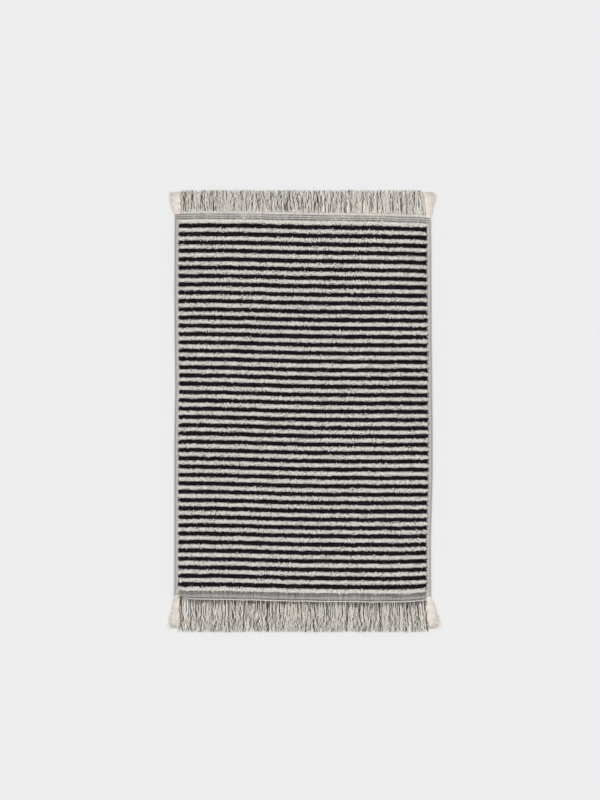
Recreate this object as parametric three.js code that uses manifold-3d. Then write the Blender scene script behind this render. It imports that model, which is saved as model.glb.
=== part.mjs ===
// A striped bath mat: two-colour loop terry on a woven ground cloth, with flat-woven headers and
// selvedges, a cut fringe at each end and a soft tassel of selvedge yarn at each corner.
//
// Millimetres. +X runs across the width, +Y along the length towards the far end, +Z up.
// The origin is on the floor, under the middle of the whole mat with its fringes.

import * as THREE from 'three';
import { mergeVertices } from 'three/addons/utils/BufferGeometryUtils.js';
import Module from 'manifold-3d';

const wasm = await Module();
wasm.setup();

// ---------------------------------------------------------------- driving dimensions

const MAT_WIDTH = 600; // from one edge cord to the other
const SELVEDGE_WIDTH = 11.5; // flat-woven edge beside the pile, with its edge cord
const EDGE_CORD = 2.4; // diameter of the cord at the very edge

const DARK_STRIPE = 9.8; // length of one dark stripe of the face, measured along Y
const CREAM_STRIPE = 9.6;
const DARK_STRIPE_COUNT = 44; // a cream stripe lies outside the first and the last of them

const HEADER_DEPTH = 21; // flat-woven end, from the pile to the fringe
const FAR_RIB_DEPTH = 6.7; // pale band at the outer edge of the far header
const NEAR_RIB_DEPTH = 2.3; // single pale line at the outer edge of the near header
const FAR_LINE_PLACES = [1.6, 6.6, 11.6]; // dark woven lines, measured out from the pile
const NEAR_LINE_PLACES = [8.4, 15.6];
const LINE_DEPTH = 1.3;
const LINE_THICKNESS = 0.6;

const FAR_FRINGE = 51; // free length of the cut warp ends
const NEAR_FRINGE = 70;
const FRINGE_WIDTH = 574;
const FRINGE_TEETH = 40; // bunches of threads across the width
const FRINGE_ROOT_DEPTH = 3; // where the bunches still hold together
const BUNCH_SPREAD = 0.56; // share of the spacing that a bunch covers

const FAR_TASSEL = 47; // free length past the end of the header
const NEAR_TASSEL = 63;
const FAR_TASSEL_FLARE = 15; // how far the tips spread past the edge of the mat
const NEAR_TASSEL_FLARE = 19;
const TASSEL_ROOT = 10; // the selvedge stops this far short of the header's outer edge

const BACK_PILE = 2.9; // the loops underneath, pressed by the weight of the mat
const GROUND = 1.4;
const FACE_PILE = 4.0;
const CREAM_FRINGE_THICKNESS = 1.2;
const DARK_FRINGE_THICKNESS = 1.0;
const TASSEL_THICKNESS = 2.4;

const RUN_WIDTH = 1.2; // low warp run that joins the stripes of one yarn
const RUN_HEIGHT = 0.7;
const RUN_TRIM = 0.2; // the ridges stand back this much from the run

const GAP = 0.3; // clearance between neighbouring pieces
const FLOOR_LIFT = 0.4; // the flat-woven ends and the fringe lie this far above the floor

// ---------------------------------------------------------------- sizes that follow

const STRIPE_PITCH = DARK_STRIPE + CREAM_STRIPE;
const PILE_LENGTH = DARK_STRIPE_COUNT * STRIPE_PITCH + CREAM_STRIPE;
const PILE_WIDTH = MAT_WIDTH - 2 * SELVEDGE_WIDTH;
const CLOTH_LENGTH = PILE_LENGTH + 2 * HEADER_DEPTH;
const CLOTH_MIDDLE = (NEAR_FRINGE - FAR_FRINGE) / 2; // the longer near fringe shifts the cloth

const GROUND_BOTTOM = BACK_PILE + GAP;
const GROUND_TOP = GROUND_BOTTOM + GROUND;
const FACE_ROOT = GROUND_TOP + GAP;
const FACE_TIP = FACE_ROOT + FACE_PILE;

// The two ends of the mat: which way each points, and what differs between them.
const ENDS = {
    far: {
        side: 1, fringe: FAR_FRINGE, rib: FAR_RIB_DEPTH, lines: FAR_LINE_PLACES,
        tassel: FAR_TASSEL, flare: FAR_TASSEL_FLARE, upper: 'cream',
    },
    near: {
        side: -1, fringe: NEAR_FRINGE, rib: NEAR_RIB_DEPTH, lines: NEAR_LINE_PLACES,
        tassel: NEAR_TASSEL, flare: NEAR_TASSEL_FLARE, upper: 'dark',
    },
};

// ---------------------------------------------------------------- yarns

const yarn = (color, roughness) => new THREE.MeshStandardMaterial({ color, roughness, metalness: 0 });

const DARK_TERRY = yarn(0x262126, 0.95);
const CREAM_TERRY = yarn(0xcfccc2, 0.92);
const GREY_WEAVE = yarn(0xaaa6a2, 0.9);
const PALE_WEAVE = yarn(0xc9c4bf, 0.9);
const DARK_YARN = yarn(0x5d5756, 0.9);
const CREAM_YARN = yarn(0xd6d0c8, 0.9);
const UNDYED_YARN = yarn(0xe2d5ca, 0.9);

const mat = new THREE.Group();

function addPiece(name, geometry, material) {
    const mesh = new THREE.Mesh(geometry, material);
    mesh.name = name;
    mat.add(mesh);
}

// ---------------------------------------------------------------- shaping helpers

const AXIS_X = new THREE.Vector3(1, 0, 0);
const AXIS_Y = new THREE.Vector3(0, 1, 0);
const AXIS_Z = new THREE.Vector3(0, 0, 1);

function extrude(outline, depth) {
    const shape = new THREE.Shape(outline.map(([u, v]) => new THREE.Vector2(u, v)));
    return new THREE.ExtrudeGeometry(shape, { depth, bevelEnabled: false, steps: 1 });
}

/** A bar across the mat: the outline is given as [y, z] points. */
function acrossMat(outline, width) {
    const turn = new THREE.Matrix4().makeBasis(AXIS_Y, AXIS_Z, AXIS_X);
    return extrude(outline, width).applyMatrix4(turn).translate(-width / 2, 0, 0);
}

/** A bar along the mat: the outline is given as [x, z] points. */
function alongMat(outline, yFrom, yTo) {
    const turn = new THREE.Matrix4().makeBasis(AXIS_X, AXIS_Z, AXIS_Y.clone().negate());
    return extrude(outline, yTo - yFrom).applyMatrix4(turn).translate(0, yTo, 0);
}

/** A flat piece lying on the floor: the outline is given as [x, y] points. */
function lyingFlat(outline, zFrom, thickness) {
    return extrude(outline, thickness).translate(0, 0, zFrom);
}

function toSolid(geometry) {
    const bare = geometry.clone();
    bare.deleteAttribute('normal');
    bare.deleteAttribute('uv');
    const welded = mergeVertices(bare);
    return new wasm.Manifold(new wasm.Mesh({
        numProp: 3,
        vertProperties: new Float32Array(welded.attributes.position.array),
        triVerts: new Uint32Array(welded.index.array),
    }));
}

function toGeometry(solid) {
    const { vertProperties, triVerts } = solid.getMesh();
    const geometry = new THREE.BufferGeometry();
    geometry.setAttribute('position', new THREE.BufferAttribute(vertProperties.slice(), 3));
    geometry.setIndex(new THREE.BufferAttribute(triVerts.slice(), 1));
    geometry.computeVertexNormals();
    return geometry;
}

// ---------------------------------------------------------------- ground cloth

function buildGroundCloth() {
    const ground = new THREE.BoxGeometry(PILE_WIDTH, PILE_LENGTH, GROUND);
    ground.translate(0, CLOTH_MIDDLE, (GROUND_BOTTOM + GROUND_TOP) / 2);
    addPiece('ground_cloth', ground, GREY_WEAVE);
}

// ---------------------------------------------------------------- pile stripes

/** Where the stripes of one colour lie on the face, from the far end to the near end. */
function stripeCentres(colour) {
    const farEdge = CLOTH_MIDDLE + PILE_LENGTH / 2;
    const first = colour === 'cream' ? CREAM_STRIPE / 2 : CREAM_STRIPE + DARK_STRIPE / 2;
    const count = colour === 'cream' ? DARK_STRIPE_COUNT + 1 : DARK_STRIPE_COUNT;
    return Array.from({ length: count }, (_, index) => farEdge - first - index * STRIPE_PITCH);
}

/**
 * All the stripes of one yarn on one side of the mat, as low ridges standing on the ground cloth.
 * The yarn is carried from stripe to stripe by a low warp run at the pile's edge: dark on the
 * left, cream on the right. The ridges stop short of the other yarn's run.
 */
function buildPile(name, { place, yarnName, stripeLength, rootZ, tipZ, material }) {
    const runSide = yarnName === 'dark' ? -1 : 1;
    const runOuter = (runSide * PILE_WIDTH) / 2;
    const runInner = runOuter - runSide * RUN_WIDTH;
    const freeEnd = -runSide * (PILE_WIDTH / 2 - RUN_WIDTH - GAP);
    const half = (stripeLength - GAP) / 2;
    const centres = stripeCentres(place).reverse();
    const nearEdge = centres[0] - half;
    const farEdge = centres[centres.length - 1] + half;

    const outline = [[runOuter, farEdge], [runOuter, nearEdge]];
    centres.forEach((centre, index) => {
        if (index > 0) outline.push([runInner, centre - half]);
        outline.push([freeEnd, centre - half], [freeEnd, centre + half]);
        if (index < centres.length - 1) outline.push([runInner, centre + half]);
    });
    const comb = lyingFlat(outline, Math.min(rootZ, tipZ), Math.abs(tipZ - rootZ));

    const upward = Math.sign(tipZ - rootZ);
    const trimWidth = 2 * RUN_WIDTH;
    const trimHeight = Math.abs(tipZ - rootZ);
    const trim = new THREE.BoxGeometry(trimWidth, farEdge - nearEdge + 2, trimHeight);
    trim.translate(
        runInner - runSide * RUN_TRIM + (runSide * trimWidth) / 2,
        (farEdge + nearEdge) / 2,
        rootZ + upward * (RUN_HEIGHT + trimHeight / 2),
    );
    addPiece(name, toGeometry(toSolid(comb).subtract(toSolid(trim))), material);
}

/** The two yarns swap faces at every stripe: under each cream stripe the back is dark. */
function buildPiles() {
    const face = { rootZ: FACE_ROOT, tipZ: FACE_TIP };
    const back = { rootZ: BACK_PILE, tipZ: 0 };
    const underDark = { place: 'dark', stripeLength: DARK_STRIPE };
    const underCream = { place: 'cream', stripeLength: CREAM_STRIPE };
    const darkYarn = { yarnName: 'dark', material: DARK_TERRY };
    const creamYarn = { yarnName: 'cream', material: CREAM_TERRY };

    buildPile('face_dark_stripes', { ...face, ...underDark, ...darkYarn });
    buildPile('face_cream_stripes', { ...face, ...underCream, ...creamYarn });
    buildPile('back_dark_stripes', { ...back, ...underCream, ...darkYarn });
    buildPile('back_cream_stripes', { ...back, ...underDark, ...creamYarn });
}

// ---------------------------------------------------------------- selvedges

/** The flat-woven edge sinks from the ground cloth to the floor beside the pile. */
function buildSelvedges() {
    const inner = PILE_WIDTH / 2 + GAP;
    const outer = MAT_WIDTH / 2 - EDGE_CORD - GAP;
    const halfLength = CLOTH_LENGTH / 2 - TASSEL_ROOT;
    const yFrom = CLOTH_MIDDLE - halfLength;
    const yTo = CLOTH_MIDDLE + halfLength;
    const cordRadius = EDGE_CORD / 2;
    const cordSides = 10;

    for (const [name, side] of [['left', -1], ['right', 1]]) {
        const weave = [
            [side * inner, GROUND_BOTTOM], [side * inner, GROUND_TOP],
            [side * outer, FLOOR_LIFT + GROUND], [side * outer, FLOOR_LIFT],
        ];
        addPiece(`${name}_selvedge`, alongMat(weave, yFrom, yTo), GREY_WEAVE);

        const cord = Array.from({ length: cordSides }, (_, index) => {
            const angle = (2 * Math.PI * index) / cordSides;
            return [
                side * (MAT_WIDTH / 2 - cordRadius) + cordRadius * Math.cos(angle),
                FLOOR_LIFT + cordRadius + cordRadius * Math.sin(angle),
            ];
        });
        addPiece(`${name}_edge_cord`, alongMat(cord, yFrom, yTo), DARK_YARN);
    }
}

// ---------------------------------------------------------------- headers

/** Top of the header at a distance out from the pile: it sinks from the ground to the floor. */
function headerTop(distance) {
    const fall = GROUND_TOP - (FLOOR_LIFT + GROUND);
    return GROUND_TOP - (fall * distance) / HEADER_DEPTH;
}

/** A band of the header between two distances out from the pile, laid along its slope. */
function headerBand(end, from, to, bottomOffset, thickness) {
    const pileEdge = CLOTH_MIDDLE + (end.side * PILE_LENGTH) / 2;
    const corner = (distance, offset) => [
        pileEdge + end.side * distance, headerTop(distance) + offset,
    ];
    return acrossMat([
        corner(from, bottomOffset), corner(to, bottomOffset),
        corner(to, bottomOffset + thickness), corner(from, bottomOffset + thickness),
    ], PILE_WIDTH);
}

function buildHeader(endName, end) {
    const ribStart = HEADER_DEPTH - end.rib;
    addPiece(`${endName}_header`, headerBand(end, GAP, ribStart - GAP, -GROUND, GROUND), GREY_WEAVE);
    addPiece(`${endName}_header_rib`, headerBand(end, ribStart, HEADER_DEPTH, -GROUND, GROUND), PALE_WEAVE);
    end.lines.forEach((place, index) => {
        const line = headerBand(end, place, place + LINE_DEPTH, GAP, LINE_THICKNESS);
        addPiece(`${endName}_header_line_${index + 1}`, line, DARK_YARN);
    });
}

// ---------------------------------------------------------------- fringes

/**
 * One yarn of a fringe: a comb of bunches that hold together at the root. Neighbouring bunches
 * lean a little different ways and end at slightly different lengths.
 */
function fringeOutline(end, shift) {
    const root = CLOTH_MIDDLE + end.side * (CLOTH_LENGTH / 2 + GAP);
    const pitch = FRINGE_WIDTH / FRINGE_TEETH;
    const halfBunch = (pitch * BUNCH_SPREAD) / 2;
    const reach = end.fringe - GAP;
    const outline = [[FRINGE_WIDTH / 2, root], [-FRINGE_WIDTH / 2, root]];
    outline.push([-FRINGE_WIDTH / 2, root + end.side * FRINGE_ROOT_DEPTH]);
    for (let index = 0; index < FRINGE_TEETH; index += 1) {
        const middle = -FRINGE_WIDTH / 2 + (index + 0.5) * pitch;
        const lean = 2 * Math.sin(2.4 * index + shift);
        const trim = index % 4 === 0 ? 0 : 2.5 * (0.5 + 0.5 * Math.sin(1.7 * index + shift));
        const rootY = root + end.side * FRINGE_ROOT_DEPTH;
        const tipY = root + end.side * (reach - trim);
        outline.push([middle - halfBunch, rootY], [middle - halfBunch * 0.7 + lean, tipY]);
        outline.push([middle + halfBunch * 0.7 + lean, tipY], [middle + halfBunch, rootY]);
    }
    outline.push([FRINGE_WIDTH / 2, root + end.side * FRINGE_ROOT_DEPTH]);
    return outline;
}

/** The dark threads lie over the cream ones at the near end, and under them at the far end. */
function buildFringe(endName, end) {
    const creamOnTop = end.upper === 'cream';
    const creamZ = creamOnTop ? FLOOR_LIFT + DARK_FRINGE_THICKNESS + GAP : FLOOR_LIFT;
    const darkZ = creamOnTop ? FLOOR_LIFT : FLOOR_LIFT + CREAM_FRINGE_THICKNESS + GAP;
    const creamShift = 0;
    const darkShift = 1.3;
    addPiece(
        `${endName}_fringe_cream_threads`,
        lyingFlat(fringeOutline(end, creamShift), creamZ, CREAM_FRINGE_THICKNESS), CREAM_YARN,
    );
    addPiece(
        `${endName}_fringe_dark_threads`,
        lyingFlat(fringeOutline(end, darkShift), darkZ, DARK_FRINGE_THICKNESS), DARK_YARN,
    );
}

// ---------------------------------------------------------------- corner tassels

/** The selvedge yarns leave the end of the selvedge and fray out past the edge of the mat. */
function tasselOutline(end, side) {
    const selvedgeEnd = CLOTH_MIDDLE + end.side * (CLOTH_LENGTH / 2 - TASSEL_ROOT + GAP);
    const headerEnd = TASSEL_ROOT;
    const length = TASSEL_ROOT + end.tassel - GAP;
    const innerRoot = PILE_WIDTH / 2 + 2 * GAP;
    const innerFree = FRINGE_WIDTH / 2 + 2;
    const edge = MAT_WIDTH / 2;
    const lobes = 5;
    const lobeDepth = 3;

    const points = [
        [innerRoot, 0], [edge - GAP, 0], [edge + end.flare * 0.25, headerEnd],
        [edge + end.flare * 0.62, length * 0.45], [edge + end.flare, length * 0.92],
    ];
    for (let index = 0; index < lobes; index += 1) {
        const across = (index + 0.5) / lobes;
        const x = THREE.MathUtils.lerp(edge + end.flare, innerFree, across);
        const halfStep = (edge + end.flare - innerFree) / lobes / 2;
        points.push([x, length]);
        if (index < lobes - 1) points.push([x - halfStep, length - lobeDepth]);
    }
    points.push([innerFree, length * 0.94], [innerFree + 1, headerEnd + 2], [innerRoot, headerEnd + GAP]);
    return points.map(([x, out]) => [side * x, selvedgeEnd + end.side * out]);
}

function buildTassels(endName, end) {
    for (const [name, side] of [['left', -1], ['right', 1]]) {
        const tassel = lyingFlat(tasselOutline(end, side), FLOOR_LIFT, TASSEL_THICKNESS);
        addPiece(`${endName}_${name}_tassel`, tassel, UNDYED_YARN);
    }
}

// ---------------------------------------------------------------- the mat

buildGroundCloth();
buildPiles();
buildSelvedges();
for (const [endName, end] of Object.entries(ENDS)) {
    buildHeader(endName, end);
    buildFringe(endName, end);
    buildTassels(endName, end);
}

export default mat;
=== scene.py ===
import math
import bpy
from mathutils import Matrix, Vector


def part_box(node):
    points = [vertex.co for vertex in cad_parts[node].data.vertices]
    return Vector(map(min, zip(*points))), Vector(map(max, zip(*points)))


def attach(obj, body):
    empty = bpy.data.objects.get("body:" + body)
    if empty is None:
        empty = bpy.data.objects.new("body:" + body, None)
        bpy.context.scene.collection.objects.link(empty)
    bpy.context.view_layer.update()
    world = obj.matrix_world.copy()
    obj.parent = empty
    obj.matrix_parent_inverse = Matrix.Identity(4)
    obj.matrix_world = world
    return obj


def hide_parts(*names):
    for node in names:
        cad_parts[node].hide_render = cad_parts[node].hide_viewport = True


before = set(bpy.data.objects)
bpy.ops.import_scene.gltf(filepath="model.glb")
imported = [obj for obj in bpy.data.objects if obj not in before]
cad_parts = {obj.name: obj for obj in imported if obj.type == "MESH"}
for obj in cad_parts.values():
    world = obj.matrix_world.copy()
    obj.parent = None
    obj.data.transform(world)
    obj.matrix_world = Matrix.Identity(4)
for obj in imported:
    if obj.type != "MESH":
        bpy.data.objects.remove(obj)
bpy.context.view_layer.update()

import zlib

import bmesh
import bpy
import numpy as np
from mathutils import Matrix

# A woven bath mat. Two pile yarns, dark and cream, stand in loops on both sides of a flat-woven
# ground cloth and swap sides at each stripe. Past the pile the same yarns are woven flat, as grey
# headers and selvedges, and then hang free as a fringe. Metres, +Y towards the far end, +Z up.

MM = 0.001

# ---------------------------------------------------------------- places, from the frame

PILE_LOW, PILE_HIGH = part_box("ground_cloth")
FACE_LOW, FACE_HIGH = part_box("face_cream_stripes")
BACK_LOW, BACK_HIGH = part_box("back_dark_stripes")
RIGHT_SELVEDGE_LOW, RIGHT_SELVEDGE_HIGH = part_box("right_selvedge")
RIGHT_CORD_LOW, RIGHT_CORD_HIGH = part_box("right_edge_cord")

HALF_WIDTH = RIGHT_CORD_HIGH.x
PILE_HALF_WIDTH = PILE_HIGH.x
PILE_LENGTH = PILE_HIGH.y - PILE_LOW.y
CLOTH_MIDDLE = (PILE_HIGH.y + PILE_LOW.y) / 2
CLOTH_END = {"far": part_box("far_header_rib")[1].y, "near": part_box("near_header_rib")[0].y}
FRINGE_END = {
    "far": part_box("far_fringe_cream_threads")[1].y,
    "near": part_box("near_fringe_cream_threads")[0].y,
}
FRINGE_HALF_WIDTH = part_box("far_fringe_cream_threads")[1].x
FRINGE_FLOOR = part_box("far_fringe_dark_threads")[0].z
SIDE = {"far": 1, "near": -1, "left": -1, "right": 1}

# ---------------------------------------------------------------- sizes of the cloth

DARK_STRIPES = 44
CREAM_STRIPE = 9.6 * MM
DARK_STRIPE = (PILE_LENGTH - CREAM_STRIPE) / DARK_STRIPES - CREAM_STRIPE
STRIPE_WANDER = 0.2 * MM  # how far a stripe's edge lies from its place in the weave

LOOP_PITCH = 3.9 * MM  # from loop to loop along a row
LOOP_YARN = 2.2 * MM
LOOP_SPAN = 3.7 * MM  # from foot to foot
LOOP_ROWS = 3  # rows of loops in one stripe
ROW_SPREAD = {"dark": 1.44, "cream": 0.89}  # the dark loops lean out over the cream ones
LOOP_WIDTHS = (0.85, 1.05)  # the least and the most, as shares of the loop's own size
LOOP_LENGTHS = (0.8, 1.2)
LOOP_HEIGHTS = (0.7, 1.0)
LOOP_TURN = (0.5, 0.9)  # usual and greatest turn about Z, in radians
LOOP_LEAN = (0.25, 0.4)  # usual and greatest lean, as a slope
MIDDLE_STRAY = 1.0 * MM  # how far a loop of the middle row strays out of it
BORDER_STRAY = 1.8 * MM  # the same in the rows at a stripe's edges
CLUMP_FALL = 1.6 * MM  # how far the clumps of the last row hang over the header
PILE_OVERHANG = 2.2 * MM  # how far the outermost loops lean over the selvedge
PILE_BASE = 1.3 * MM  # height of the crowded loop feet above the ground cloth
BASE_COLUMNS = 96
BASE_ROWS = 3
BASE_LUMP = 0.25 * MM
BACK_COLUMNS = 200  # lumps of pressed loops along a stripe of the back
BACK_ROWS = {"dark": 4, "cream": 5}  # and across it, by the colour of the face above it
BACK_STRAY = 0.3 * MM  # how far a lump lies from its place
BACK_CRESTS = (0.0, 0.35 * MM)  # how high above the floor the pressed loops lie
BACK_HOLLOWS = (1.1 * MM, 1.5 * MM)  # and the hollows between them
WEAVE_RELIEF = 0.18 * MM  # how far a thread of the flat weave stands up or lies down


def draw_for(name):
    """The random draws of one piece, which are the same at every run."""
    return np.random.default_rng(zlib.crc32(name.encode()))


# ---------------------------------------------------------------- meshes


def points_of(mesh):
    flat = np.empty(len(mesh.vertices) * 3, np.float32)
    mesh.vertices.foreach_get("co", flat)
    return flat.reshape(-1, 3).astype(float)


def set_points(mesh, points):
    mesh.vertices.foreach_set("co", np.ascontiguousarray(points, np.float32).ravel())
    mesh.update()


def set_attribute(mesh, name, values):
    attribute = mesh.attributes.new(name, "FLOAT", "POINT")
    attribute.data.foreach_set("value", np.ascontiguousarray(values, np.float32).ravel())


def to_mesh(bm, name):
    mesh = bpy.data.meshes.new(name)
    bm.to_mesh(mesh)
    bm.free()
    return mesh


def copies(shape, count):
    """The same small shape many times over in one mesh, all still in one place."""
    holder = bpy.data.objects.new(shape.name + "_copies", shape)
    bpy.context.scene.collection.objects.link(holder)
    array = holder.modifiers.new("copies", "ARRAY")
    array.count = count
    array.use_relative_offset = False
    depsgraph = bpy.context.evaluated_depsgraph_get()
    mesh = bpy.data.meshes.new_from_object(holder.evaluated_get(depsgraph))
    bpy.data.objects.remove(holder)
    return mesh


def joined(meshes, name):
    """Several meshes as one, with their attributes."""
    holders = []
    for mesh in meshes:
        holder = bpy.data.objects.new(name, mesh)
        bpy.context.scene.collection.objects.link(holder)
        holders.append(holder)
    with bpy.context.temp_override(
        active_object=holders[0], object=holders[0], selected_editable_objects=holders
    ):
        bpy.ops.object.join()
    mesh = holders[0].data
    bpy.data.objects.remove(holders[0])
    return mesh


def add_piece(name, mesh, material, slot, *nodes):
    """A finished piece of the mat: it rides on the mat and stands for its CAD nodes."""
    mesh.name = name
    mesh.materials.clear()
    mesh.materials.append(material)
    mesh.shade_smooth()
    piece = bpy.data.objects.new(name, mesh)
    bpy.context.scene.collection.objects.link(piece)
    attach(piece, "root")
    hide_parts(*nodes)
    return piece


# ---------------------------------------------------------------- how the mat lies

# No cloth lies quite square. Each side edge wanders: at places along the mat, how far the edge
# lies to the right of its woven place, in millimetres.
EDGE_WANDER = {
    "left": ((-450, 0.2), (-80, 0.6), (50, 2.5), (270, 0.6), (450, 1.8)),
    "right": ((-450, -3.0), (-300, -3.8), (-150, 0.3), (-60, 0.4), (200, -2.0), (450, -3.2)),
}
RIPPLES = ((0.2 * MM, 61, -26, 2.2), (0.15 * MM, 103, 41, 0.0))  # size, then its run over x and y
PILE_RISE = 0.35 * MM  # the pile rises over the floor by up to twice this
BUCKLE = 2.2 * MM  # how high the crumpled corner of the header stands up


def at_left_corner(x):
    """1 at the left side of the pile, and nothing a few centimetres in from it."""
    return np.clip(-x / PILE_HALF_WIDTH, 0, 1) ** 16


def crumple(x, near):
    """The near left corner of the header is pushed up against the pile. The selvedge beside it
    and its tassel aren't pushed along with it."""
    beside = np.clip((HALF_WIDTH + x) / (HALF_WIDTH - PILE_HALF_WIDTH), 0, 1)
    return 0.9 * near**50 * at_left_corner(x) * beside


def askew(x, y):
    """How far the cloth lies towards the far end from its woven place, worked out in millimetres.
    The left side lies ahead of the right with a soft step between them. Two corners are pulled
    and a third is crumpled. The tips of the fringes stay still."""
    across = x / PILE_HALF_WIDTH
    along = (y - CLOTH_MIDDLE) / (PILE_LENGTH / 2)
    drift = 2.5 - 3.7 * along + 3.4 * along**3
    step = -3.9 * np.tanh((across + 0.35) / 0.43)
    bow = -2.6 * (across**2 - 0.25) * along**2 - across**2 * along
    right = np.clip(across, 0, 1)
    far, near = np.clip(along, 0, 1), np.clip(-along, 0, 1.05)
    pulls = 5.5 * right**8 * near**4 - 1.9 * right**8 * far**4 + crumple(x, near)
    still = np.clip((FRINGE_END["far"] - np.abs(y)) / (60 * MM), 0, 1)
    return (drift + step + bow + pulls) * still * MM


def laid(points):
    """The mat as it really lies: the stripes run a little askew, the edges wander, the pile rises
    and falls a little over the floor, and one corner of a header buckles."""
    x, y, z = np.asarray(points, float).T
    ripple = sum(size * np.sin(a * x + b * y + start) for size, a, b, start in RIPPLES)
    sideways = np.zeros(len(x))
    for hand, outline in EDGE_WANDER.items():
        wander = np.interp(y / MM, *zip(*outline)) * MM
        sideways += wander * np.clip(SIDE[hand] * x / HALF_WIDTH, 0, 1) ** 2

    lift = PILE_RISE * (1 + np.sin(11 * x + 5 * y + 0.4) * np.sin(9 * y - 4 * x))
    inside = np.clip((HALF_WIDTH - np.abs(x)) / (40 * MM), 0, 1)
    inside = inside * np.clip((PILE_LENGTH / 2 - np.abs(y - CLOTH_MIDDLE)) / (30 * MM), 0, 1)

    on_header = np.clip((PILE_LOW.y - y) / (PILE_LOW.y - CLOTH_END["near"]), 0, 1)
    buckle = BUCKLE * np.sin(np.pi * on_header) * at_left_corner(x)
    return np.stack([x + sideways, y + askew(x, y) + ripple, z + lift * inside + buckle], 1)


# ---------------------------------------------------------------- materials


class Surface:
    """A yarn's material under construction: a shader and short ways to feed it."""

    def __init__(self, name, roughness, sheen):
        self.material = bpy.data.materials.new(name)
        self.material.use_nodes = True
        self.tree = self.material.node_tree
        self.shader = self.tree.nodes["Principled BSDF"]
        self.shader.inputs["Roughness"].default_value = roughness
        self.shader.inputs["Sheen Weight"].default_value = sheen
        self.shader.inputs["Sheen Roughness"].default_value = 0.6
        self.shader.inputs["Specular IOR Level"].default_value = 0.12
        self.place = self.node("ShaderNodeTexCoord").outputs["Object"]

    def node(self, kind, **settings):
        made = self.tree.nodes.new(kind)
        for key, value in settings.items():
            setattr(made, key, value)
        return made

    def link(self, output, socket):
        self.tree.links.new(output, socket)

    def attribute(self, name):
        return self.node("ShaderNodeAttribute", attribute_name=name).outputs["Fac"]

    def noise(self, scale, detail=2.0):
        made = self.node("ShaderNodeTexNoise")
        made.inputs["Scale"].default_value = scale
        made.inputs["Detail"].default_value = detail
        self.link(self.place, made.inputs["Vector"])
        return made.outputs["Fac"]

    def ramp(self, value, stops):
        """Colours along a value, each stop as (position, colour)."""
        made = self.node("ShaderNodeValToRGB")
        elements = made.color_ramp.elements
        while len(elements) < len(stops):
            elements.new(0.5)
        for element, (position, colour) in zip(elements, stops):
            element.position = position
            element.color = (*colour, 1)
        self.link(value, made.inputs["Fac"])
        return made.outputs["Color"]

    def multiplied(self, first, second):
        made = self.node("ShaderNodeMix", data_type="RGBA", blend_type="MULTIPLY")
        made.inputs["Factor"].default_value = 1.0
        self.link(first, made.inputs["A"])
        self.link(second, made.inputs["B"])
        return made.outputs["Result"]

    def bump(self, height, distance):
        made = self.node("ShaderNodeBump")
        made.inputs["Distance"].default_value = distance
        made.inputs["Strength"].default_value = 0.6
        self.link(height, made.inputs["Height"])
        self.link(made.outputs["Normal"], self.shader.inputs["Normal"])

    def done(self, colour):
        self.link(colour, self.shader.inputs["Base Color"])
        return self.material


def shade_of(colour, factor):
    return tuple(channel * factor for channel in colour)


def grey(level):
    return (level, level, level)


def loop_yarn(name, colour, shades, patches, painted_shade_at_feet, sheen):
    """Looped cotton: each loop has its own shade, a factor on the colour, and slow patches run over
    the mat. A height attribute is 0 at the feet and 1 at the crest, and the feet, where the loops
    crowd together, are painted darker by a given factor, as shade."""
    surface = Surface(name, 0.95, sheen)
    stops = [(position, shade_of(colour, factor)) for position, factor in shades]
    loops = surface.ramp(surface.attribute("shade"), stops)
    slow = surface.ramp(surface.noise(9.0), [(0.3, grey(1 - patches)), (0.7, grey(1))])
    fibres = surface.ramp(surface.noise(1800.0, 3.0), [(0.25, grey(0.86)), (0.75, grey(1))])
    surface.bump(surface.noise(2600.0, 3.0), 0.25 * MM)
    # Painted shade: the feet of the loops are darker and the crests keep the full colour.
    painted_feet_shade = surface.ramp(surface.attribute("painted_shade_height"), [(0.0, grey(painted_shade_at_feet)), (0.75, grey(1))])
    tinted = surface.multiplied(surface.multiplied(loops, slow), painted_feet_shade)
    return surface.done(surface.multiplied(tinted, fibres))


def flat_weave(name, pale, dark):
    """Flat weave of two yarns: the tone attribute says how much of the dark one shows."""
    surface = Surface(name, 0.9, 0.15)
    threads = surface.ramp(surface.attribute("tone"), [(0.0, pale), (1.0, dark)])
    fibres = surface.ramp(surface.noise(1500.0, 3.0), [(0.25, grey(0.85)), (0.75, grey(1))])
    surface.bump(surface.noise(2200.0, 3.0), 0.2 * MM)
    return surface.done(surface.multiplied(threads, fibres))


def free_yarn(name, colour, spread, sheen=0.2):
    """A twisted cotton end: a fine slanting ply across the thread, with its grooves painted darker as
    shade, and a shade of its own that is up to spread paler or darker than the colour."""
    surface = Surface(name, 0.9, sheen)
    own = surface.ramp(
        surface.attribute("shade"),
        [(0.0, shade_of(colour, 1 - spread)), (1.0, shade_of(colour, 1 + spread))],
    )
    ply = surface.node("ShaderNodeTexWave", wave_type="BANDS", bands_direction="DIAGONAL")
    ply.inputs["Scale"].default_value = 220.0
    ply.inputs["Distortion"].default_value = 2.0
    surface.link(surface.place, ply.inputs["Vector"])
    # Painted shade: the grooves between the plies are darker, and the same bands bump the surface.
    painted_ply_groove_shade = surface.ramp(ply.outputs["Fac"], [(0.0, grey(0.82)), (0.6, grey(1))])
    surface.bump(ply.outputs["Fac"], 0.2 * MM)
    return surface.done(surface.multiplied(own, painted_ply_groove_shade))


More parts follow.
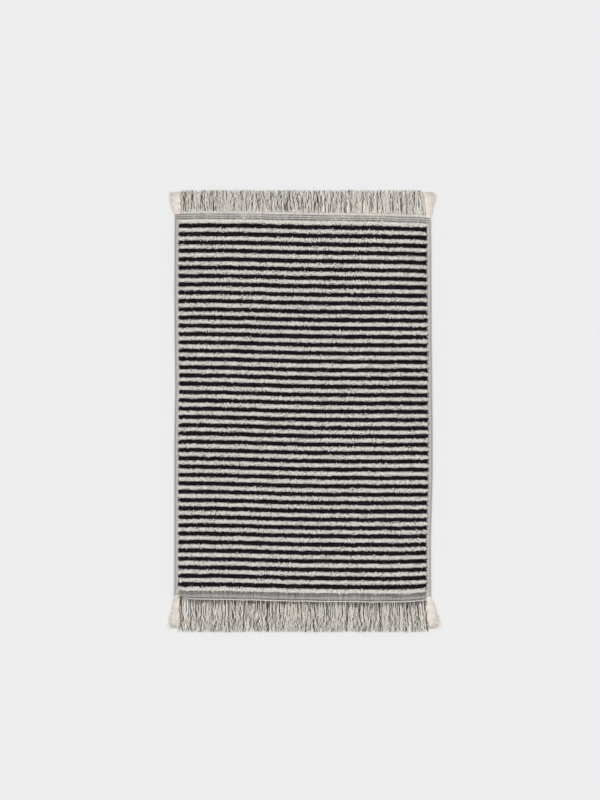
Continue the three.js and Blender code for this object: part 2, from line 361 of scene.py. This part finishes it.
DARK_SHADES_AND_GLINTS = ((0.0, 0.5), (0.8, 1.1), (1.0, 6.0))  # a few loops are far paler: painted glints where they catch the light, and pale fluff
CREAM_SHADES = ((0.0, 0.45), (0.22, 0.94), (1.0, 1.0))  # a few cream loops are much darker
DARK_TERRY = loop_yarn("dark_terry", (0.0125, 0.008, 0.0105), DARK_SHADES_AND_GLINTS, 0.3, 0.5, 0.025)
CREAM_TERRY = loop_yarn("cream_terry", (0.96, 0.92, 0.855), CREAM_SHADES, 0.04, 0.7, 0.1)
GREY_WEAVE = flat_weave("grey_flatweave", (0.66, 0.64, 0.61), (0.06, 0.05, 0.05))
PALE_WEAVE = flat_weave("pale_weave", (0.80, 0.765, 0.725), (0.2, 0.19, 0.18))
GROUND_WEAVE = flat_weave("ground_weave", (0.5, 0.48, 0.46), (0.06, 0.05, 0.05))
DARK_YARN = free_yarn("dark_yarn", (0.039, 0.029, 0.0225), 0.5)
CREAM_YARN = free_yarn("cream_yarn", (0.93, 0.865, 0.79), 0.06)
UNDYED_YARN = free_yarn("undyed_yarn", (0.96, 0.87, 0.785), 0.03, 0.4)
CORD_YARN = free_yarn("edge_cord_yarn", (0.48, 0.455, 0.44), 0.3)

# ---------------------------------------------------------------- shapes


def loop_shape():
    """One terry loop: a yarn that rises from the ground, arches along Y and comes down again. It
    has few sides and steps, because the mat has tens of thousands of them."""
    bm = bmesh.new()
    bmesh.ops.create_circle(bm, cap_ends=True, radius=LOOP_YARN / 2, segments=3)
    bmesh.ops.translate(bm, verts=bm.verts[:], vec=(0, -LOOP_SPAN / 2, 0))
    bmesh.ops.spin(
        bm, geom=bm.verts[:] + bm.edges[:] + bm.faces[:], cent=(0, 0, 0), axis=(-1, 0, 0),
        angle=math.pi, steps=4, use_merge=False, use_duplicate=False,
    )
    bmesh.ops.recalc_face_normals(bm, faces=bm.faces[:])
    return to_mesh(bm, "loop")


def thread_shape(steps, sides=4):
    """A straight thread, 1 long in Y and 1 thick, closed at both ends."""
    bm = bmesh.new()
    bmesh.ops.create_circle(bm, cap_ends=True, radius=0.5, segments=sides)
    upright = Matrix.Rotation(math.pi / 2, 3, "X")
    bmesh.ops.rotate(bm, verts=bm.verts[:], cent=(0, 0, 0), matrix=upright)
    bmesh.ops.spin(
        bm, geom=bm.verts[:] + bm.edges[:] + bm.faces[:], cent=(0, 0, 0), axis=(0, 1, 0),
        angle=0, dvec=(0, 1 / steps, 0), steps=steps, use_merge=False, use_duplicate=False,
    )
    bmesh.ops.recalc_face_normals(bm, faces=bm.faces[:])
    return to_mesh(bm, "thread")


def slab_shape(across, along):
    """A closed slab, 1 by 1, whose upper side at z 0 is a fine grid and whose foot is at -1."""
    bm = bmesh.new()
    bmesh.ops.create_grid(bm, x_segments=across, y_segments=along, size=0.5)
    rim = [edge for edge in bm.edges if edge.is_boundary]
    skirt = bmesh.ops.extrude_edge_only(bm, edges=rim)["geom"]
    lowered = [item for item in skirt if isinstance(item, bmesh.types.BMVert)]
    bmesh.ops.translate(bm, verts=lowered, vec=(0, 0, -1))
    bmesh.ops.holes_fill(bm, edges=[edge for edge in bm.edges if edge.is_boundary], sides=0)
    bmesh.ops.recalc_face_normals(bm, faces=bm.faces[:])
    return to_mesh(bm, "slab")


def placed(shape, centres, turn, lean, size):
    """Every copy of a shape sized, leaned over, turned about Z and set at its own place."""
    local = shape[None] * size[:, None, :]
    local[..., :2] += local[..., 2:3] * lean[:, None, :]
    cos, sin = np.cos(turn)[:, None], np.sin(turn)[:, None]
    x = local[..., 0] * cos - local[..., 1] * sin
    y = local[..., 0] * sin + local[..., 1] * cos
    local = np.stack([x, y, local[..., 2]], 2)
    return (local + centres[:, None, :]).reshape(-1, 3)


# ---------------------------------------------------------------- pile


def stripe_edges():
    """Where one stripe ends and the next begins, from the far end to the near end."""
    lengths = [CREAM_STRIPE] + [DARK_STRIPE, CREAM_STRIPE] * DARK_STRIPES
    edges = PILE_HIGH.y - np.concatenate([[0], np.cumsum(lengths)])
    wander = draw_for("stripe_edges").normal(0, STRIPE_WANDER, len(edges))
    wander[[0, -1]] = 0
    return edges + wander


STRIPE_EDGES = stripe_edges()


def stripe_list(place):
    """Number, far edge and near edge of each stripe of the face that is dark or cream."""
    start = 1 if place == "dark" else 0
    numbers = range(start, len(STRIPE_EDGES) - 1, 2)
    return [(number, STRIPE_EDGES[number], STRIPE_EDGES[number + 1]) for number in numbers]


def scattered(draw, usual, greatest, count):
    """Random amounts to either side of zero, none past the greatest."""
    return np.clip(draw.normal(0, usual, count), -greatest, greatest)


def face_loops(name, stripes, spread, ragged):
    """The loops of a run of stripes, row after row, each loop fallen its own way. The last row
    of a ragged run hangs over the header in clumps."""
    draw = draw_for(name)
    reach = PILE_HALF_WIDTH + PILE_OVERHANG
    per_row = int(2 * reach / LOOP_PITCH)
    step = 2 * reach / per_row
    xs, ys, falls = [], [], []
    for number, far_edge, near_edge in stripes:
        row_gap = (far_edge - near_edge) / LOOP_ROWS * spread
        for row in range(LOOP_ROWS):
            from_middle = (LOOP_ROWS - 1) / 2 - row
            every_other = (number * LOOP_ROWS + row) % 2
            stagger = every_other * 0.5 + draw.uniform(-0.1, 0.1)
            x = -reach + (np.arange(per_row) + 0.25 + stagger) * step
            y = (far_edge + near_edge) / 2 + from_middle * row_gap
            stray = BORDER_STRAY if from_middle else MIDDLE_STRAY
            y = y + draw.uniform(-stray, stray, per_row)
            fall = np.zeros(per_row)
            if ragged and number == stripes[-1][0] and row == LOOP_ROWS - 1:
                clumps = np.sin(31 * x + 1.0) + np.sin(83 * x + 0.3) + draw.normal(-0.5, 0.7, per_row)
                fall = np.clip(clumps, 0, 2.2) * CLUMP_FALL
            xs.append(x)
            ys.append(y - fall)
            falls.append(fall)
    x, y, fall = np.concatenate(xs), np.concatenate(ys), np.concatenate(falls)
    count = len(x)
    x = x + draw.normal(0, 0.5 * MM, count)
    full_height = FACE_HIGH.z - FACE_LOW.z - LOOP_YARN / 2
    rise = full_height * draw.uniform(*LOOP_HEIGHTS, count) - 0.5 * fall
    widths = draw.uniform(*LOOP_WIDTHS, count)
    lengths = draw.uniform(*LOOP_LENGTHS, count)
    size = np.stack([widths, lengths, rise / (LOOP_SPAN / 2)], 1)
    turn = scattered(draw, *LOOP_TURN, count)
    lean = scattered(draw, *LOOP_LEAN, (count, 2))
    centres = np.stack([x, y, np.full(count, FACE_LOW.z)], 1)

    shape = loop_shape()
    local = points_of(shape)
    mesh = copies(shape, count)
    set_points(mesh, laid(placed(local, centres, turn, lean, size)))
    set_attribute(mesh, "shade", np.repeat(draw.uniform(0, 1, count), len(local)))
    # 0 at a loop's feet and 1 at its crest, for the painted shade at the feet.
    set_attribute(mesh, "painted_shade_height", np.tile(local[:, 2] / local[:, 2].max(), count))
    return mesh


def stripe_bases(name, stripes):
    """The packed feet of the loops: one soft lumpy bar under each stripe, in painted shade."""
    draw = draw_for(name)
    shape = slab_shape(BASE_COLUMNS, BASE_ROWS)
    local = points_of(shape)
    mesh = copies(shape, len(stripes))
    bars = []
    for _, far_edge, near_edge in stripes:
        bar = local.copy()
        upper = local[:, 2] > -0.5
        bar[:, 0] = local[:, 0] * 2 * PILE_HALF_WIDTH
        bar[:, 1] = (far_edge + near_edge) / 2 + local[:, 1] * (far_edge - near_edge)
        lumps = draw.uniform(-BASE_LUMP, BASE_LUMP, len(bar))
        bar[:, 2] = np.where(upper, FACE_LOW.z + PILE_BASE + lumps, FACE_LOW.z)
        bars.append(bar)
    set_points(mesh, laid(np.concatenate(bars)))
    set_attribute(mesh, "shade", draw.uniform(0, 1, len(mesh.vertices)))
    # Painted shade: low values give the bars the dark end of the loops' height ramp.
    set_attribute(mesh, "painted_shade_height", draw.uniform(0.0, 0.25, len(mesh.vertices)))
    return mesh


def build_face_pile(colour, sections, material, slot):
    """The loops of one yarn on the face, in a few pieces of some ten stripes each."""
    stripes = stripe_list(colour)
    pieces = []
    for number, part in enumerate(np.array_split(np.arange(len(stripes)), sections), 1):
        name = f"face_{colour}_loops_{number}"
        run = [stripes[i] for i in part]
        ragged = colour == "cream" and number == sections
        loops = face_loops(name, run, ROW_SPREAD[colour], ragged)
        mesh = joined([loops, stripe_bases(name + "_base", run)], name)
        pieces.append(add_piece(name, mesh, material, slot, f"face_{colour}_stripes"))
    return pieces


def build_back_pile(colour, place, material, slot):
    """The reverse: the same loops pressed flat by the mat's own weight, as rows of low lumps."""
    name = f"back_{colour}_loops"
    stripes = stripe_list(place)
    draw = draw_for(name)
    shape = slab_shape(BACK_COLUMNS, BACK_ROWS[place])
    local = points_of(shape)
    mesh = copies(shape, len(stripes))
    column = np.rint((local[:, 0] + 0.5) * BACK_COLUMNS)
    row = np.rint((local[:, 1] + 0.5) * BACK_ROWS[place])
    outer = local[:, 2] > -0.5
    high = (column + row) % 2 == 0
    bars = []
    for _, far_edge, near_edge in stripes:
        bar = local.copy()
        stray = draw.normal(0, BACK_STRAY, (len(bar), 2)) * outer[:, None]
        bar[:, 0] = local[:, 0] * 2 * PILE_HALF_WIDTH
        bar[:, 1] = (far_edge + near_edge) / 2 - local[:, 1] * (far_edge - near_edge)
        bar[:, :2] += stray
        crests = draw.uniform(*BACK_CRESTS, len(bar))
        hollows = draw.uniform(*BACK_HOLLOWS, len(bar))
        lump = np.where(high, crests, hollows)
        bar[:, 2] = np.where(outer, BACK_LOW.z + lump, BACK_HIGH.z)
        bars.append(bar)
    set_points(mesh, laid(np.concatenate(bars)))
    set_attribute(mesh, "shade", draw.uniform(0, 1, len(mesh.vertices)))
    # Painted shade: the hollows between the pressed loops are painted darker than the crests.
    set_attribute(mesh, "painted_shade_height", np.tile(np.where(high, 1.0, 0.2), len(stripes)))
    return add_piece(name, mesh, material, slot, f"back_{colour}_stripes")


# ---------------------------------------------------------------- flat-woven cloth


def woven_slab(name, across, along, shape_points, tone):
    """A piece of flat weave. shape_points places the unit slab, and tone gives the share of dark
    yarn on top for each column (a thread along Y) and row (a thread along X)."""
    draw = draw_for(name)
    shape = slab_shape(across, along)
    local = points_of(shape)
    column = np.rint((local[:, 0] + 0.5) * across)
    row = np.rint((local[:, 1] + 0.5) * along)
    upper = local[:, 2] > -0.5
    over = (column + row) % 2 == 0
    relief = np.where(over, WEAVE_RELIEF, -WEAVE_RELIEF) * upper
    points = shape_points(local[:, 0], local[:, 1], local[:, 2])
    points[:, 2] += relief + draw.uniform(-0.04, 0.04, len(points)) * MM * upper
    set_points(shape, laid(points))
    set_attribute(shape, "tone", tone(column, row, over, draw))
    return shape


def build_ground():
    def place(u, v, w):
        z = np.where(w > -0.5, PILE_HIGH.z, PILE_LOW.z)
        return np.stack([u * 2 * PILE_HALF_WIDTH, CLOTH_MIDDLE + v * PILE_LENGTH, z], 1)

    def tone(column, row, over, draw):
        return np.where(over, 0.25, 0.5) + draw.uniform(-0.1, 0.1, len(column))

    mesh = woven_slab("ground_cloth", 120, 180, place, tone)
    return add_piece("ground_cloth_weave", mesh, GROUND_WEAVE, "grey_flatweave", "ground_cloth")


def end_band(name, node, slot, material, along, tone, dome=0.0):
    """A flat-woven band of one end, on the slope of its CAD node. A dome makes it stand up round,
    as a single thick thread does."""
    low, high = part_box(node)
    end = node.split("_")[0]
    side = SIDE[end]
    inner = low.y if side > 0 else high.y
    outer = high.y if side > 0 else low.y
    ground = PILE_HIGH.z - PILE_LOW.z
    inner_top, outer_top = high.z, low.z + ground

    def place(u, v, w):
        out = 0.5 + v
        y = inner + (outer - inner) * out
        top = inner_top + (outer_top - inner_top) * out
        z = np.where(w > -0.5, top + dome * np.cos(np.pi * v), top - ground)
        return np.stack([u * 2 * PILE_HALF_WIDTH, y, z], 1)

    mesh = woven_slab(name, 400, along, place, tone)
    return add_piece(name, mesh, material, slot, node)


def warp_tone(over_share, under_share, warp_spread, scatter=0.0, pile_shadow_rows=0):
    """How much dark yarn shows in a header: where a warp lies over the weft and where it lies
    under, the difference from warp to warp, the scatter from stitch to stitch, and how many rows
    beside the pile are painted darker, as the pile's shadow."""

    def tone(column, row, over, draw):
        per_warp = draw.uniform(-warp_spread, warp_spread, int(column.max()) + 1)
        base = np.where(over, over_share, under_share) + per_warp[column.astype(int)]
        # Painted shadow: the rows beside the pile are darker, as in the shadow of the pile.
        base = base + np.where(row < pile_shadow_rows, 0.24, 0.0)
        return np.clip(base + draw.uniform(-scatter, scatter, len(column)), 0, 1)

    return tone


def cream_weft(column, row, over, draw):
    """The tone of the single cream line at the outer edge of the near header."""
    return draw.uniform(0, 0.04, len(column))


def build_headers():
    far_tone = warp_tone(0.44, 0.26, 0.14, scatter=0.08)
    far_rib_tone = warp_tone(0.22, 0.38, 0.2)
    near_tone = warp_tone(0.60, 0.44, 0.14, scatter=0.08, pile_shadow_rows=6)
    return [
        end_band("far_header_weave", "far_header", "grey_flatweave", GREY_WEAVE, 10, far_tone),
        end_band("far_rib_weave", "far_header_rib", "pale_weave", PALE_WEAVE, 5, far_rib_tone),
        end_band("near_header_weave", "near_header", "grey_flatweave", GREY_WEAVE, 13, near_tone),
        end_band(
            "near_rib_weave", "near_header_rib", "pale_weave", PALE_WEAVE, 4, cream_weft,
            dome=0.6 * MM,
        ),
    ]


FLOAT_STEP = 2.2 * MM  # from stitch to stitch along a woven line
FLOAT_WIDTH = 1.25 * MM
FLOAT_HEIGHT = 0.7 * MM
FLOAT_LIFT = 0.25 * MM  # the middle of a stitch lies this high above a selvedge
FAR_LINE_OVERRUN = 8 * MM  # how far the far header's lines run on over the selvedges
LINE_FLOATS = {  # share of the stitches that show, and how long they are
    "far_header_line_1": (0.92, 1.9),
    "far_header_line_2": (0.95, 1.2),
    "far_header_line_3": (0.75, 1.0),
    "near_header_line_1": (0.5, 0.9),
    "near_header_line_2": (0.9, 1.35),
}


def selvedge_top(out):
    """Height of a selvedge's upper side: 0 is beside the pile and 1 is at the edge cord."""
    low_edge = RIGHT_SELVEDGE_LOW.z + PILE_HIGH.z - PILE_LOW.z
    return RIGHT_SELVEDGE_HIGH.z + (low_edge - RIGHT_SELVEDGE_HIGH.z) * out


def build_header_line(node):
    """A row of dark warp floats: short stitches that lie on the header, side by side. Long ones
    lie along the mat and short ones across it."""
    name = node + "_floats"
    draw = draw_for(name)
    low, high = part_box(node)
    share, long = LINE_FLOATS[node]
    reach = PILE_HALF_WIDTH + (FAR_LINE_OVERRUN if node.startswith("far") else 0)
    places = int(2 * reach / FLOAT_STEP)
    x = -reach + (np.arange(places) + 0.5) * FLOAT_STEP
    shows = np.sin(23 * x + 2.0) + np.sin(61 * x) + draw.normal(0, 1.0, places)
    x = x[np.argsort(-shows)[: int(share * places)]]
    count = len(x)
    lengths = draw.uniform(1.2, 1.9, count) * long * MM
    size = np.stack([np.full(count, FLOAT_WIDTH), lengths, np.full(count, FLOAT_HEIGHT)], 1)
    y = (low.y + high.y) / 2 + draw.normal(0, 0.15 * MM, count) + 0.25 * MM * np.sin(47 * x + 1.0)
    on_edge = (np.abs(x) - PILE_HALF_WIDTH) / (RIGHT_SELVEDGE_HIGH.x - PILE_HALF_WIDTH)
    on_header = (low.z + high.z) / 2 - FLOAT_HEIGHT / 2
    z = np.where(on_edge > 0, selvedge_top(on_edge) + FLOAT_LIFT, on_header)
    turn = draw.normal(math.pi / 2, 0.2, count) if long < 1.2 else draw.normal(0, 0.3, count)

    shape = thread_shape(3)
    local = points_of(shape) - np.array([0, 0.5, 0])
    mesh = copies(shape, count)
    upright = np.zeros((count, 2))
    set_points(mesh, laid(placed(local, np.stack([x, y, z], 1), turn, upright, size)))
    set_attribute(mesh, "shade", np.repeat(draw.uniform(0, 1, count), len(local)))
    return add_piece(name, mesh, DARK_YARN, "dark_yarn", node)


SELVEDGE_TONE_AND_SHADE = {"left": 0.56, "right": 0.41}  # share of dark yarn that shows in each, the left one darker also as painted shade
SELVEDGE_WARPS = 6
SELVEDGE_WEFTS = 560
CORD_STEPS = 420


def build_selvedge(hand):
    side = SIDE[hand]
    low, high = RIGHT_SELVEDGE_LOW, RIGHT_SELVEDGE_HIGH
    inner = low.x - 0.3 * MM  # it closes up to the pile and to the edge cord
    outer = high.x + 0.1 * MM

    def place(u, v, w):
        out = 0.5 + side * u
        top = selvedge_top(out)
        z = np.where(w > -0.5, top, top - (PILE_HIGH.z - PILE_LOW.z))
        y = CLOTH_MIDDLE + v * (high.y - low.y)
        return np.stack([side * (inner + (outer - inner) * out), y, z], 1)

    def tone(column, row, over, draw):
        out = column if side > 0 else SELVEDGE_WARPS - column
        base = SELVEDGE_TONE_AND_SHADE[hand] + np.where(over, -0.1, 0.1) + np.where(out > 4.5, 0.1, 0.0)
        return np.clip(base + draw.uniform(-0.08, 0.08, len(column)), 0, 1)

    name = f"{hand}_selvedge_weave"
    mesh = woven_slab(name, SELVEDGE_WARPS, SELVEDGE_WEFTS, place, tone)
    return add_piece(name, mesh, PALE_WEAVE, "grey_flatweave", f"{hand}_selvedge")


def build_edge_cord(hand):
    """The corded edge of a selvedge, thick and thin in turn as the weft binds it."""
    low, high = RIGHT_CORD_LOW, RIGHT_CORD_HIGH
    shape = thread_shape(CORD_STEPS, 6)
    local = points_of(shape)
    thick = (high.x - low.x) * (1 + 0.16 * np.sin(local[:, 1] * CORD_STEPS * math.pi / 2))
    x = SIDE[hand] * (high.x + low.x) / 2 + local[:, 0] * thick
    y = low.y + local[:, 1] * (high.y - low.y)
    z = (high.z + low.z) / 2 + local[:, 2] * thick
    set_points(shape, laid(np.stack([x, y, z], 1)))
    # Lighter and darker in turn along the cord: partly the dark stitches of the weft, partly painted
    # light and shade on its twist.
    set_attribute(shape, "shade", 0.5 + 0.5 * np.sin(y * 900))
    name = f"{hand}_edge_cord_twist"
    return add_piece(name, shape, CORD_YARN, "dark_yarn", f"{hand}_edge_cord")


# ---------------------------------------------------------------- fringe


def sway(draw, count, s, length, waves):
    """Side to side waves along threads, each wave given as (length, amplitude)."""
    total = np.zeros((count, s.shape[1]))
    for wave_length, amplitude in waves:
        own_length = wave_length * draw.uniform(0.75, 1.3, (count, 1))
        own_amplitude = amplitude * draw.uniform(0.4, 1.5, (count, 1))
        phase = draw.uniform(0, 1, (count, 1))
        total += own_amplitude * np.sin(2 * np.pi * (s * length / own_length + phase))
    return total


THREAD_WAVES = [(52 * MM, 1.7 * MM), (23 * MM, 1.1 * MM), (11 * MM, 0.58 * MM)]
THREAD_RISE = [(45 * MM, 0.4 * MM)]  # the waves in a thread's height
THREAD_STEPS = {"far": 28, "near": 36}
THREAD_TAPER = 0.25
THREAD_LEAN = 2.4 * MM  # how far a thread's tip strays to one side
BUNCH_STEP = 9.5 * MM  # from one loose bunch of threads to the next
THREAD = {"cream": 1.45 * MM, "dark": 1.35 * MM}  # thickness of a free warp end
THREADS = {("far", "cream"): 420, ("far", "dark"): 205, ("near", "cream"): 410, ("near", "dark"): 225}
UPPERMOST = 2.3 * MM  # how high the highest threads lie above the floor
ROOT_OVERLAP = {"far": 1.5 * MM, "near": 0.3 * MM}  # how far the threads still lie on the header
RIGHT_END_LEAN = {"far": -7 * MM, "near": 9 * MM}  # the threads of the right end lean sideways
RIGHT_END_START = 200 * MM
RIGHT_END_WIDTH = 88 * MM
OUTER_STRAY = 9 * MM  # how far the outermost tips may stray past the side of the fringe
SHORTER = 0.085  # the shortest thread is shorter than the longest by this share
# How high each yarn lies where it leaves the header: at the near end the dark one is on top.
ROOT_LAYER = {
    ("far", "cream"): 1.0 * MM, ("far", "dark"): 0.8 * MM,
    ("near", "cream"): 0.6 * MM, ("near", "dark"): 1.5 * MM,
}
ROOT_ZONE = {"far": 0.16, "near": 0.22}  # share of a thread's length that still lies in order
ROOT_WIDENING = {  # how much thicker each yarn is where the weave still binds it
    ("far", "cream"): 0.2, ("far", "dark"): 0.3,
    ("near", "cream"): 0.0, ("near", "dark"): 0.4,
}
FLATTENED = (1.12, 0.88)  # a yarn that lies on the floor is wider than it is high


def thread_paths(draw, end, colour, count, steps):
    """Centrelines of the free warp ends of one fringe: they come out of the header side by side,
    gather loosely into bunches, cross over one another and come down on to the floor."""
    side = SIDE[end]
    root_y = CLOTH_END[end]
    length = abs(FRINGE_END[end] - root_y)
    s = np.linspace(0, 1, steps + 1)[None, :]  # the place along a thread: 0 is its root
    free = np.clip(s * 1.6, 0, 1) ** 1.3  # how free it is of the weave's order

    even = np.linspace(-1, 1, count)[:, None] * (FRINGE_HALF_WIDTH - 0.5 * MM)
    root = even + draw.normal(0, 0.5 * MM, (count, 1))
    bunch = np.rint(root / BUNCH_STEP + draw.normal(0, 0.35, root.shape))
    centre = (bunch + 0.3 * np.sin(bunch * 12.9)) * BUNCH_STEP
    gather = 0.15 + 0.38 * np.sin(bunch * 4.7) ** 2
    x = root + (centre - root) * gather * np.sin(np.pi * free * 0.75)
    x += free * s * (np.sin(bunch * 7.3) * 1.5 * MM + draw.normal(0, THREAD_LEAN, (count, 1)))
    at_right_end = np.clip((root - RIGHT_END_START) / RIGHT_END_WIDTH, 0, 1) ** 2
    x += s * RIGHT_END_LEAN[end] * at_right_end
    x += free * sway(draw, count, s, length, THREAD_WAVES)
    limit = FRINGE_HALF_WIDTH + OUTER_STRAY * s
    x = np.clip(x, -limit, limit)

    reach = length * (1 - SHORTER * draw.uniform(0, 1, (count, 1)) ** 1.4)
    y = root_y + side * (reach * s - ROOT_OVERLAP[end] * (1 - s) ** 3)

    layer = draw.uniform(0, 1, (count, 1)) * UPPERMOST
    at_root = np.clip(1 - s / ROOT_ZONE[end], 0, 1)
    root_layer = ROOT_LAYER[end, colour] + draw.uniform(-0.4, 0.4, (count, 1)) * MM
    layer = layer + (root_layer - layer) * at_root
    layer = layer + free * sway(draw, count, s, length, THREAD_RISE)
    return x, y, FRINGE_FLOOR + np.maximum(layer, 0)


def swept(name, paths, thickness, taper, root_widening=0.0, sides=4, twist=0.7):
    """Threads along their paths, each a closed tube that turns as it goes and narrows to its tip."""
    x, y, z = paths
    count, rings = x.shape
    shape = thread_shape(rings - 1, sides)
    local = points_of(shape)
    ring = np.rint(local[:, 1] * (rings - 1)).astype(int)
    angle = np.arctan2(local[:, 2], local[:, 0])[None, :] + twist * ring[None, :]
    narrow = 1 - taper * (ring[None, :] / (rings - 1)) ** 3
    widened = 1 + root_widening * np.exp(-ring[None, :] / (0.16 * rings))
    radius = 0.5 * thickness[:, None] * narrow * widened
    px = x[:, ring] + radius * np.cos(angle) * FLATTENED[0]
    pz = z[:, ring] + radius * (1 + np.sin(angle) * FLATTENED[1])
    mesh = copies(shape, count)
    set_points(mesh, laid(np.stack([px, y[:, ring], pz], 2).reshape(-1, 3)))
    draw = draw_for(name + "_shade")
    set_attribute(mesh, "shade", np.repeat(draw.uniform(0, 1, count), len(local)))
    return mesh


def build_fringe(end):
    """The free warp ends of one end of the mat, one piece for each yarn."""
    pieces = []
    for colour, material in (("cream", CREAM_YARN), ("dark", DARK_YARN)):
        count = THREADS[end, colour]
        name = f"{end}_fringe_{colour}_warp_ends"
        draw = draw_for(name)
        paths = thread_paths(draw, end, colour, count, THREAD_STEPS[end])
        thickness = THREAD[colour] * draw.uniform(0.75, 1.15, count)
        mesh = swept(name, paths, thickness, THREAD_TAPER, ROOT_WIDENING[end, colour])
        node = f"{end}_fringe_{colour}_threads"
        pieces.append(add_piece(name, mesh, material, f"{colour}_yarn", node))
    return pieces


# ---------------------------------------------------------------- tassels


# Inner and outer reach of each tassel's tips, out from the middle of the mat, and how slowly it
# opens: a small number flares straight away.
TASSEL_SPREAD = {
    ("far", "left"): (286.5 * MM, 319 * MM, 0.5),
    ("far", "right"): (283.5 * MM, 319 * MM, 0.85),
    ("near", "left"): (287 * MM, 319 * MM, 0.9),
    ("near", "right"): (293 * MM, 328 * MM, 0.8),
}
TASSEL_ROOT = (288.5 * MM, 299.5 * MM)  # where the strands leave the selvedge
STRANDS = 260
STRAND_STEPS = 16
STRAND_WAVES = [(38 * MM, 0.9 * MM), (15 * MM, 0.45 * MM)]
STRAND_THICKNESS = (1.0 * MM, 0.6 * MM)  # on the inner side and on the outer side
STRAND_TAPER = 0.6
STRAND_SHORTER = 0.2  # the shortest strand is shorter than the longest by this share
CROWN = 1.4 * MM  # how high the strands are heaped in the middle of a tassel


def build_tassel(end, hand):
    """Loose selvedge yarn: fine strands held at the selvedge, fanning out past the mat. They lie
    thick on the inner side and thin out to a haze on the outer side."""
    name = f"{end}_{hand}_tassel_strands"
    node = f"{end}_{hand}_tassel"
    draw = draw_for(name)
    low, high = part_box(node)
    side, out = SIDE[hand], SIDE[end]
    root_y = low.y if out > 0 else high.y
    length = high.y - low.y
    inner, outer, slowness = TASSEL_SPREAD[end, hand]
    s = np.linspace(0, 1, STRAND_STEPS + 1)[None, :]
    share = 1 - (1 - np.linspace(0, 0.995, STRANDS)[:, None]) ** 0.42
    share = np.clip(share + draw.normal(0, 0.03, (STRANDS, 1)), 0, 1)
    root = TASSEL_ROOT[0] + (TASSEL_ROOT[1] - TASSEL_ROOT[0]) * share
    tip = inner + (outer - inner) * share
    x = root + (tip - root) * np.maximum(s, 0.001) ** slowness
    x = side * (x + s * sway(draw, STRANDS, s, length, STRAND_WAVES))
    reach = length * (1 - STRAND_SHORTER * draw.uniform(0, 1, (STRANDS, 1)) ** 1.3)
    y = root_y + out * reach * s
    crown = np.sin(np.pi * np.clip(share, 0.05, 0.95))
    z = FRINGE_FLOOR + draw.uniform(0, 1, (STRANDS, 1)) * CROWN * crown * (1 - 0.4 * s)
    thick, thin = STRAND_THICKNESS
    thickness = thick + (thin - thick) * share[:, 0]
    mesh = swept(name, (x, y, z), thickness, STRAND_TAPER, sides=3, twist=0.4)
    return add_piece(name, mesh, UNDYED_YARN, "undyed_yarn", node)


# ---------------------------------------------------------------- the mat

ground = build_ground()
on_ground = []
on_ground += build_face_pile("dark", 4, DARK_TERRY, "dark_terry")
on_ground += build_face_pile("cream", 4, CREAM_TERRY, "cream_terry")
on_ground.append(build_back_pile("dark", "cream", DARK_TERRY, "dark_terry"))
on_ground.append(build_back_pile("cream", "dark", CREAM_TERRY, "cream_terry"))
on_ground += build_headers()
on_ground += [build_header_line(node_name) for node_name in LINE_FLOATS]
for hand_name in ("left", "right"):
    on_ground += [build_selvedge(hand_name), build_edge_cord(hand_name)]
for end_name in ("far", "near"):
    on_ground += build_fringe(end_name)
    on_ground += [build_tassel(end_name, hand_name) for hand_name in ("left", "right")]

# ---------------------------------------------------------------- floor, light and camera


def build_floor():
    bm = bmesh.new()
    bmesh.ops.create_grid(bm, x_segments=1, y_segments=1, size=15)
    floor = bpy.data.objects.new("floor", to_mesh(bm, "floor"))
    bpy.context.scene.collection.objects.link(floor)
    material = bpy.data.materials.new("pale_floor")
    material.use_nodes = True
    shader = material.node_tree.nodes["Principled BSDF"]
    shader.inputs["Base Color"].default_value = (0.715, 0.715, 0.715, 1)
    shader.inputs["Roughness"].default_value = 0.9
    shader.inputs["Specular IOR Level"].default_value = 0.0
    floor.data.materials.append(material)


def build_light():
    world = bpy.data.worlds.new("studio")
    bpy.context.scene.world = world
    world.use_nodes = True
    background = world.node_tree.nodes["Background"]
    background.inputs["Color"].default_value = (1, 1, 1, 1)
    background.inputs["Strength"].default_value = 0.88
    sun = bpy.data.lights.new("soft_key", "SUN")
    sun.energy = 1.2
    sun.angle = math.radians(22)
    key = bpy.data.objects.new("soft_key", sun)
    key.rotation_euler = (math.radians(-28), math.radians(-22), 0)
    bpy.context.scene.collection.objects.link(key)


def build_camera():
    """Straight above the mat, with a long lens."""
    height = 6.0
    view_length = 1.857  # how much of the floor fits in the longer side of the frame
    camera = bpy.data.cameras.new("overhead")
    camera.sensor_width = 36
    camera.lens = camera.sensor_width * height / view_length
    camera.clip_end = 100
    overhead = bpy.data.objects.new("overhead", camera)
    overhead.location = (-7.3 * MM, 25.7 * MM, height)
    bpy.context.scene.collection.objects.link(overhead)
    bpy.context.scene.camera = overhead


build_floor()
build_light()
build_camera()
bpy.context.scene.view_settings.view_transform = "Standard"
